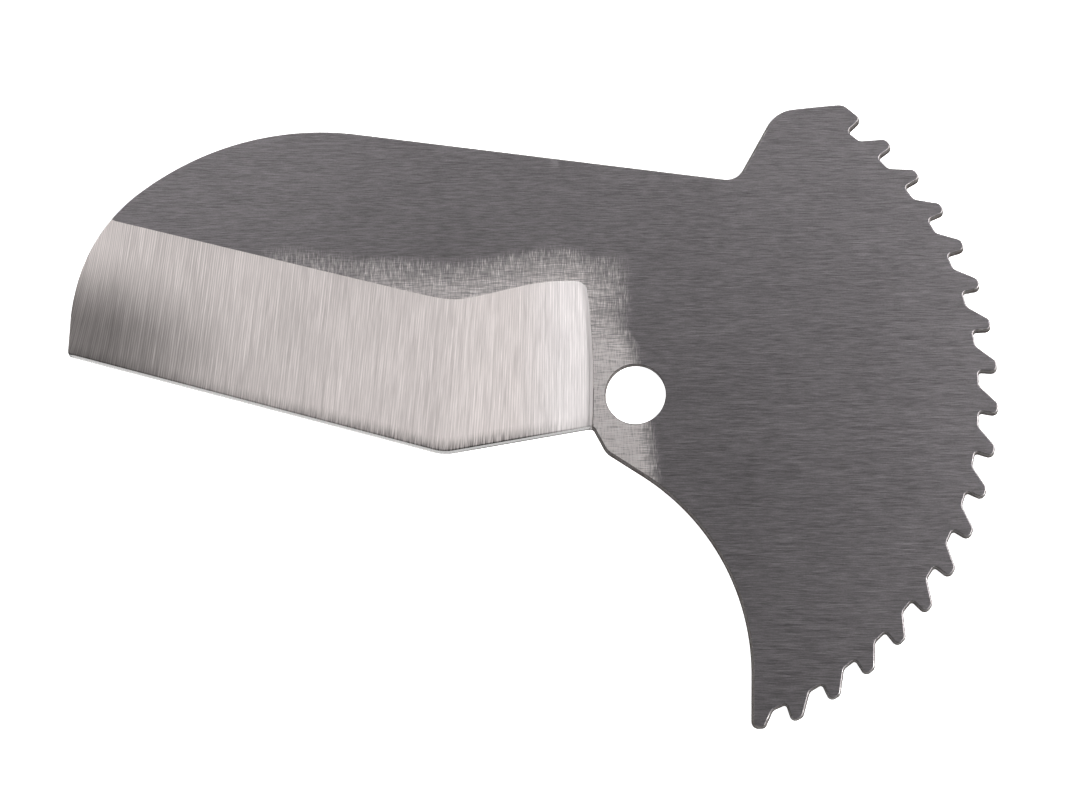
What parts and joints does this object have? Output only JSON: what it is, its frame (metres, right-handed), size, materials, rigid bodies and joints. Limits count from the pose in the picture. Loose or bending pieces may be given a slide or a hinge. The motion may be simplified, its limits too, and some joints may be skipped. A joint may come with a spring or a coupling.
{
  "type": "pipe cutter blade",
  "caption": "Flat steel replacement blade for a ratcheting plastic pipe cutter, with a two-stretch ground edge, a pivot bore and a curved row of ratchet teeth.",
  "frame": {"origin": "on the axis of the pivot bore, at the plate's back face", "axes": "+Z along the bore out of the front face, +X from the pivot towards the ratchet teeth, +Y towards the spine"},
  "size_m": [0.1555, 0.1039, 0.0025],
  "materials": {
    "blade_steel": "brushed plate with bright ground bevels"
  },
  "bodies": {
    "root": {"blade": "blade_steel"}
  },
  "joints": []
}
